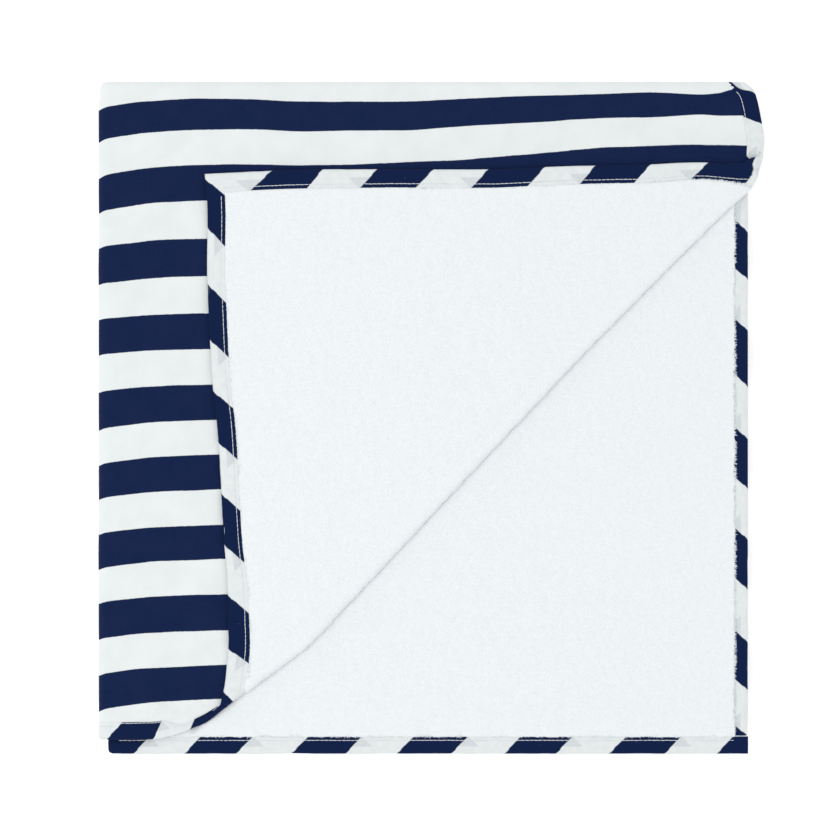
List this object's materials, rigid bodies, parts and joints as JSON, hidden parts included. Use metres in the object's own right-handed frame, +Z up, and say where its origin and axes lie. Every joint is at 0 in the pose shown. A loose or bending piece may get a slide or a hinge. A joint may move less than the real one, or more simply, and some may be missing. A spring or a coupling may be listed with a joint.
{
  "type": "hooded baby towel",
  "caption": "Folded square two-layer baby towel, striped cotton outside and terry inside, with bias-bound edges, one front corner turned back and a hood sewn across a back corner.",
  "frame": {"origin": "centre of the folded towel's footprint, on the surface that it lies on", "axes": "+Z up out of the folded towel, +Y towards the top folds, +X towards the bound side edges, away from the side fold"},
  "size_m": [0.4736, 0.476, 0.0261],
  "materials": {
    "striped_cotton": "plain-weave cotton printed in even navy and white stripes about 25 mm wide, matt",
    "terry": "white looped cotton terry pile, matt and soft",
    "bias_binding": "the striped cotton cut on the bias and folded double, about 12 mm wide, stripes at 45 degrees",
    "thread": "off-white cotton sewing thread, slight sheen"
  },
  "bodies": {
    "back_half": {"back_shell": "striped_cotton", "back_lining": "terry", "back_inner_fold_lining": "terry", "back_side_binding": "bias_binding", "back_side_stitching": "thread", "back_outer_hem_binding": "bias_binding", "back_outer_hem_stitching": "thread", "back_inner_hem_binding": "bias_binding", "back_inner_hem_stitching": "thread", "hood_shell": "striped_cotton", "hood_lining": "terry", "hood_binding": "bias_binding", "hood_stitching": "thread"},
    "side_fold": {"side_fold_shell": "striped_cotton", "side_fold_lining": "terry", "side_fold_binding": "bias_binding", "side_fold_stitching": "thread"},
    "front_half": {"front_shell": "striped_cotton", "front_lining": "terry", "front_inner_fold_lining": "terry", "front_side_binding": "bias_binding", "front_side_stitching": "thread", "front_inner_hem_binding": "bias_binding", "front_inner_hem_stitching": "thread", "front_outer_hem_binding": "bias_binding", "front_outer_hem_stitching": "thread"},
    "turned_corner": {"corner_shell": "striped_cotton", "corner_lining": "terry", "corner_upper_binding": "bias_binding", "corner_upper_stitching": "thread", "corner_left_binding": "bias_binding", "corner_left_stitching": "thread"}
  },
  "joints": [
    {"name": "side_fold_lower", "type": "hinge", "parent": "back_half", "child": "side_fold", "pos_m": [-0.2345, 0, 0.0023], "axis": [0, -1, 0], "range_deg": [0, 90]},
    {"name": "side_fold_upper", "type": "hinge", "parent": "side_fold", "child": "front_half", "pos_m": [-0.2345, 0, 0.0238], "axis": [0, -1, 0], "range_deg": [0, 90]},
    {"name": "corner_turn", "type": "hinge", "parent": "front_half", "child": "turned_corner", "pos_m": [0.03811, -0.02885, 0.02165], "axis": [0.7009, 0.7133, 0], "range_deg": [0, 179.8]}
  ],
  "couplings": [
    {"joint": "side_fold_upper", "follows": "side_fold_lower", "ratio": 1}
  ]
}
